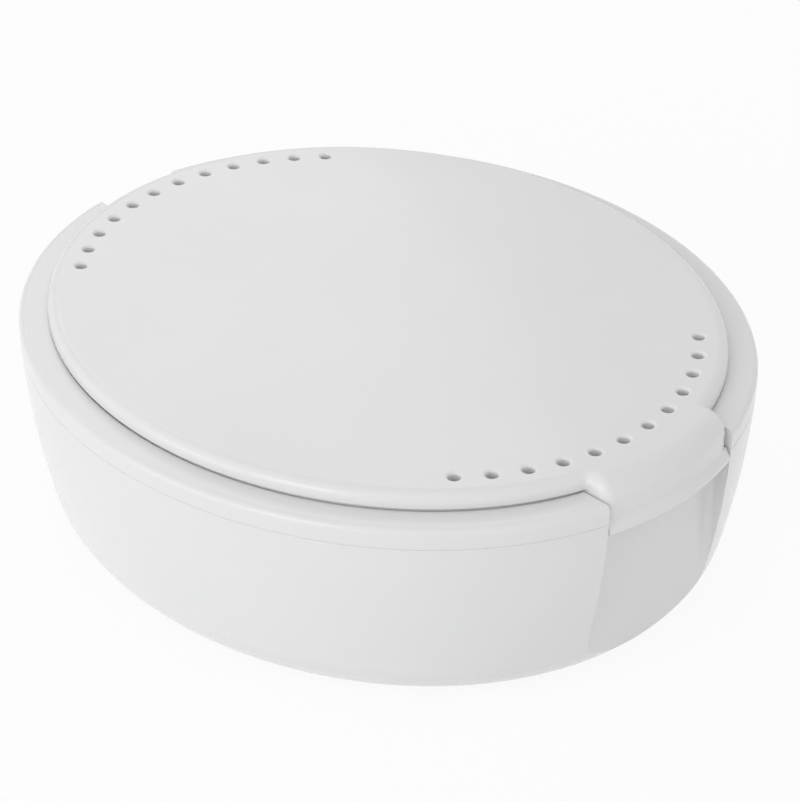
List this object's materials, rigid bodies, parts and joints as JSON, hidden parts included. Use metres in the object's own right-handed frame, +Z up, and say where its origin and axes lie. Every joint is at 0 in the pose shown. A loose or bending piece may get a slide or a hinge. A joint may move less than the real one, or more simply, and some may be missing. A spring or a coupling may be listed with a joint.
{
  "type": "denture case",
  "caption": "Oval denture case: a round-bottomed tub with a rim collar, a rear-hinged vented lid with a thumb tab over a finger bay, and a lift-out strainer basket.",
  "frame": {"origin": "middle of the base, at the height of the foot ring", "axes": "+X to the thumb tab, across the long way of the oval; +Y across the short way; +Z up"},
  "size_m": [0.1199, 0.1058, 0.037],
  "materials": {
    "tub_plastic": "polished moulding, faint flow waviness",
    "collar_plastic": "polished moulding",
    "lid_plastic": "polished moulding",
    "basket_plastic": "satin moulding",
    "pin_steel": "drawn wire"
  },
  "bodies": {
    "case": {"tub": "tub_plastic", "rim_collar": "collar_plastic", "hinge_pin": "pin_steel", "strainer_basket": "basket_plastic"},
    "lid": {"lid": "lid_plastic"}
  },
  "joints": [
    {"name": "lid_hinge", "type": "hinge", "parent": "case", "child": "lid", "pos_m": [-0.057, 0, 0.0304], "axis": [0, -1, 0], "range_deg": [0, 110]}
  ]
}
